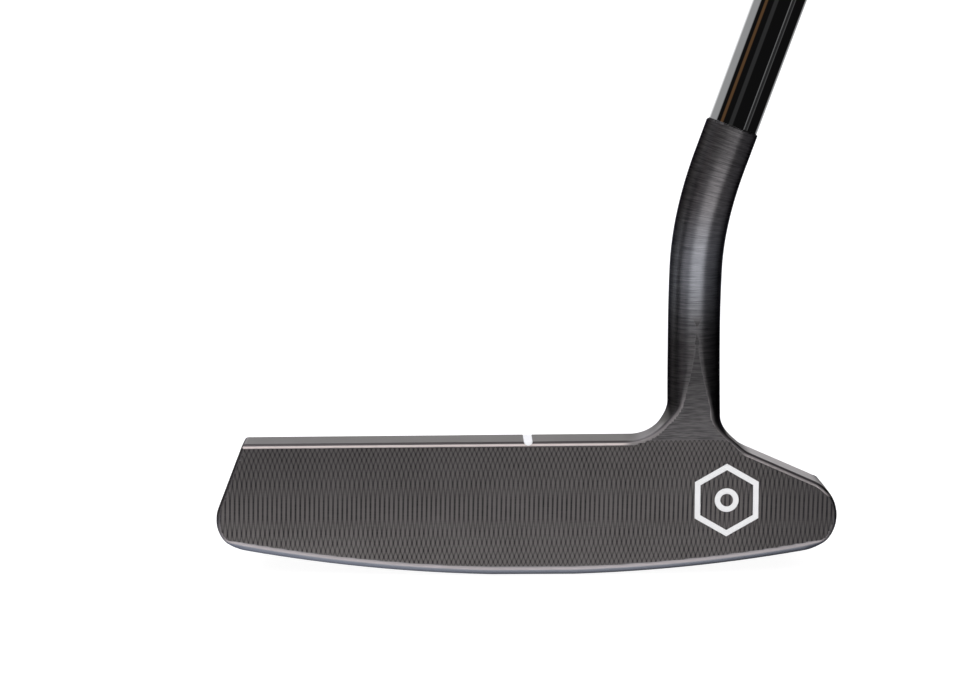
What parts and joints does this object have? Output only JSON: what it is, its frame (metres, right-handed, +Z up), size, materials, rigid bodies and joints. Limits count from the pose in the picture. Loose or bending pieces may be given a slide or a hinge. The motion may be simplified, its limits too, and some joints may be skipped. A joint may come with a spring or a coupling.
{
  "type": "blade putter",
  "caption": "Milled steel blade putter for a right-handed golfer: one-piece head with a flow neck, stepped steel shaft over a post, and pistol grip.",
  "frame": {"origin": "middle of the small flat on the sole, where the head rests on the ground", "axes": "+X from toe to heel, -Y the way the face looks (towards the target), +Z up with the club at its lie angle"},
  "size_m": [0.3707, 0.0375, 0.8172],
  "materials": {
    "head_steel": "dark oxide over fine brushing, fly-cut face",
    "mark_paint": "white paint fill",
    "bond_epoxy": "cured epoxy, hidden",
    "shaft_chrome": "bright chrome plate",
    "grip_tape": "double-sided paper tape, hidden",
    "grip_core": "moulded underlisting, hidden",
    "grip_skin": "matte soft wrap with fine grain",
    "grip_cap": "smooth moulded rubber"
  },
  "bodies": {
    "root": {"putter_head": "head_steel", "sight_line_fill": "mark_paint", "face_mark_fill": "mark_paint", "shaft_bond": "bond_epoxy", "shaft": "shaft_chrome", "grip_tape": "grip_tape", "grip_core": "grip_core", "grip_skin": "grip_skin", "grip_end_cap": "grip_cap"}
  },
  "joints": []
}
